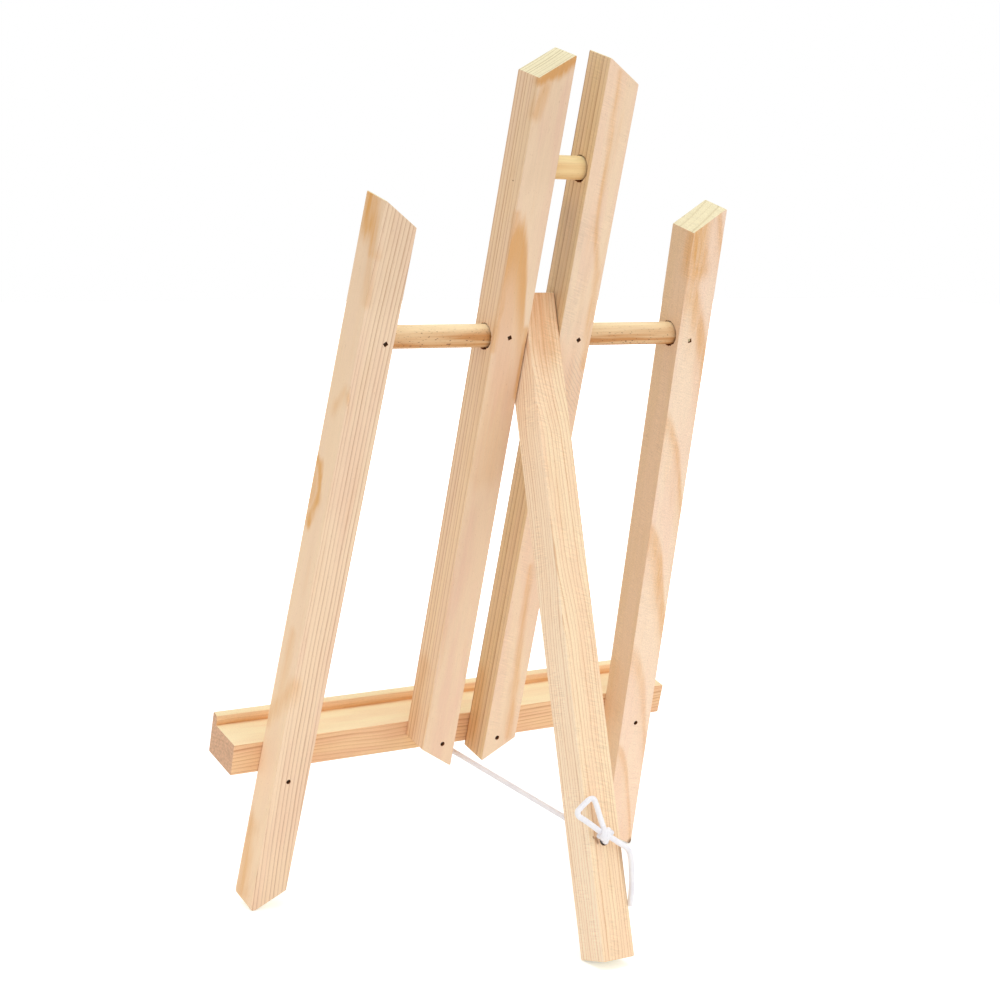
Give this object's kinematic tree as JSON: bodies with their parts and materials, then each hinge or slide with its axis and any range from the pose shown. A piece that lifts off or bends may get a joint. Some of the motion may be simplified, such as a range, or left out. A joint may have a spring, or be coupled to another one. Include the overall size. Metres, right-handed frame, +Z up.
{
  "type": "tabletop display easel",
  "caption": "Pine tabletop easel: centre masts and splayed side legs on a cross dowel, a rabbeted ledge, and a folding rear leg held by a stay cord.",
  "frame": {"origin": "middle of the easel's own box, at table level, cord left out", "axes": "+Z up, the picture side faces -Y, the rear leg stands at +Y, +X is the right-hand side seen from the picture side"},
  "size_m": [0.2802, 0.1912, 0.4527],
  "materials": {
    "pine_mast": "planed bare pine, dense growth lines on the sides, flame figure on the back",
    "pine_side": "planed bare pine, straight and flame figure",
    "pine_rear": "planed bare pine, fine straight growth lines",
    "pine_ledge": "planed bare pine, wavy growth lines along the rail",
    "dowel": "turned softwood dowel, bare",
    "steel": "dark set nail heads",
    "cord": "white braided cotton cord"
  },
  "bodies": {
    "frame": {"mast_left": "pine_mast", "mast_right": "pine_mast", "side_leg_left": "pine_side", "side_leg_right": "pine_side", "canvas_ledge": "pine_ledge", "hinge_dowel": "dowel", "top_dowel": "dowel", "dowel_brad_side_left": "steel", "dowel_brad_mast_left": "steel", "dowel_brad_mast_right": "steel", "dowel_brad_side_right": "steel", "ledge_nail_side_left": "steel", "ledge_nail_mast_left": "steel", "ledge_nail_mast_right": "steel", "ledge_nail_side_right": "steel", "stay_cord": "cord"},
    "rear_leg": {"rear_leg": "pine_rear", "stay_knot": "cord", "stay_loop": "cord", "stay_tail": "cord"}
  },
  "joints": [
    {"name": "rear_leg_hinge", "type": "hinge", "parent": "frame", "child": "rear_leg", "pos_m": [0.00556, 0.00365, 0.30987], "axis": [1, 0, 0], "range_deg": [-29.5, 0], "deforming": ["stay_cord"]}
  ]
}
